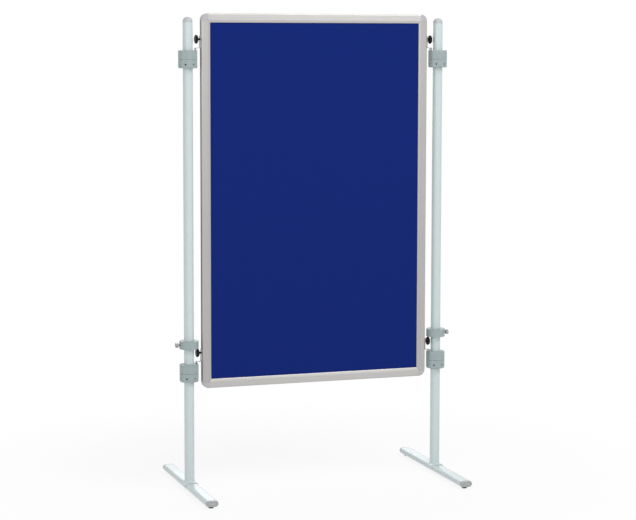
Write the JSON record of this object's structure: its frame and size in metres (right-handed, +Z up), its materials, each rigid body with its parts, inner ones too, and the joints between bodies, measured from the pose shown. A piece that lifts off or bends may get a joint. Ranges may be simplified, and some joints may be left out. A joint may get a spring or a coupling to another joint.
{
  "type": "freestanding pinboard partition",
  "caption": "Portrait felt board in an aluminium frame, hung by hook brackets between two round posts on flat-oval cross feet.",
  "frame": {"origin": "on the floor, midway between the posts and in the mid plane of the board", "axes": "+Z up, +X along the board to the right seen from the front, +Y from the front of the board to its back"},
  "size_m": [0.941, 0.55, 1.53],
  "materials": {
    "frame_aluminium": "satin anodised",
    "corner_plastic": "smooth moulded",
    "panel_core": "raw soft fibre board",
    "felt": "dense fine felt",
    "post_paint": "semi-gloss powder coat",
    "cap_plastic": "smooth moulded",
    "ring_plastic": "fine moulded grain",
    "knob_plastic": "fine moulded grain",
    "glide_rubber": "plain",
    "zinc_steel": "zinc plated",
    "black_steel": "black oxide"
  },
  "bodies": {
    "board": {"frame_left": "frame_aluminium", "frame_right": "frame_aluminium", "frame_top": "frame_aluminium", "frame_bottom": "frame_aluminium", "corner_top_left": "corner_plastic", "corner_top_right": "corner_plastic", "corner_bottom_right": "corner_plastic", "corner_bottom_left": "corner_plastic", "panel_core": "panel_core", "felt_front": "felt", "felt_back": "felt", "left_upper_hook_ring": "ring_plastic", "left_upper_hook_bracket": "zinc_steel", "left_upper_slot_nut": "zinc_steel", "left_lower_hook_ring": "ring_plastic", "left_lower_hook_bracket": "zinc_steel", "left_lower_slot_nut": "zinc_steel", "right_upper_hook_ring": "ring_plastic", "right_upper_hook_bracket": "zinc_steel", "right_upper_slot_nut": "zinc_steel", "right_lower_hook_ring": "ring_plastic", "right_lower_hook_bracket": "zinc_steel", "right_lower_slot_nut": "zinc_steel"},
    "left_upper_knob_assembly": {"left_upper_knob": "knob_plastic", "left_upper_knob_stud": "zinc_steel"},
    "left_lower_knob_assembly": {"left_lower_knob": "knob_plastic", "left_lower_knob_stud": "zinc_steel"},
    "left_stand": {"left_post": "post_paint", "left_post_cap": "cap_plastic", "left_foot": "post_paint", "left_foot_bolt": "zinc_steel", "left_front_foot_cap": "cap_plastic", "left_back_foot_cap": "cap_plastic", "left_front_glide": "glide_rubber", "left_back_glide": "glide_rubber", "left_upper_clamp_ring": "ring_plastic", "left_upper_grub_screw": "black_steel", "left_lower_clamp_ring": "ring_plastic", "left_lower_grub_screw": "black_steel"},
    "left_lock_ring_body": {"left_lock_ring": "ring_plastic"},
    "left_thumb_screw_body": {"left_thumb_screw": "zinc_steel"},
    "right_upper_knob_assembly": {"right_upper_knob": "knob_plastic", "right_upper_knob_stud": "zinc_steel"},
    "right_lower_knob_assembly": {"right_lower_knob": "knob_plastic", "right_lower_knob_stud": "zinc_steel"},
    "right_stand": {"right_post": "post_paint", "right_post_cap": "cap_plastic", "right_foot": "post_paint", "right_foot_bolt": "zinc_steel", "right_front_foot_cap": "cap_plastic", "right_back_foot_cap": "cap_plastic", "right_front_glide": "glide_rubber", "right_back_glide": "glide_rubber", "right_upper_clamp_ring": "ring_plastic", "right_upper_grub_screw": "black_steel", "right_lower_clamp_ring": "ring_plastic", "right_lower_grub_screw": "black_steel"},
    "right_lock_ring_body": {"right_lock_ring": "ring_plastic"},
    "right_thumb_screw_body": {"right_thumb_screw": "zinc_steel"}
  },
  "joints": [
    {"name": "left_stand_swivel", "type": "hinge", "parent": "board", "child": "left_stand", "pos_m": [-0.426, 0, 0], "axis": [0, 0, 1], "range_deg": [-90, 90]},
    {"name": "left_upper_knob_turn", "type": "hinge", "parent": "board", "child": "left_upper_knob_assembly", "pos_m": [-0.3965, 0, 1.448], "axis": [1, 0, 0], "continuous": true},
    {"name": "left_lower_knob_turn", "type": "hinge", "parent": "board", "child": "left_lower_knob_assembly", "pos_m": [-0.3965, 0, 0.445], "axis": [1, 0, 0], "continuous": true},
    {"name": "left_lock_ring_slide", "type": "slide", "parent": "left_stand", "child": "left_lock_ring_body", "axis": [0, 0, 1], "range_m": [0, 0.868]},
    {"name": "left_thumb_screw_turn", "type": "hinge", "parent": "left_lock_ring_body", "child": "left_thumb_screw_body", "pos_m": [-0.46625, 0, 0.4728], "axis": [1, 0, 0], "continuous": true},
    {"name": "right_stand_swivel", "type": "hinge", "parent": "board", "child": "right_stand", "pos_m": [0.426, 0, 0], "axis": [0, 0, 1], "range_deg": [-90, 90]},
    {"name": "right_upper_knob_turn", "type": "hinge", "parent": "board", "child": "right_upper_knob_assembly", "pos_m": [0.3965, 0, 1.448], "axis": [1, 0, 0], "continuous": true},
    {"name": "right_lower_knob_turn", "type": "hinge", "parent": "board", "child": "right_lower_knob_assembly", "pos_m": [0.3965, 0, 0.445], "axis": [1, 0, 0], "continuous": true},
    {"name": "right_lock_ring_slide", "type": "slide", "parent": "right_stand", "child": "right_lock_ring_body", "axis": [0, 0, 1], "range_m": [0, 0.868]},
    {"name": "right_thumb_screw_turn", "type": "hinge", "parent": "right_lock_ring_body", "child": "right_thumb_screw_body", "pos_m": [0.46625, 0, 0.4728], "axis": [1, 0, 0], "continuous": true}
  ]
}
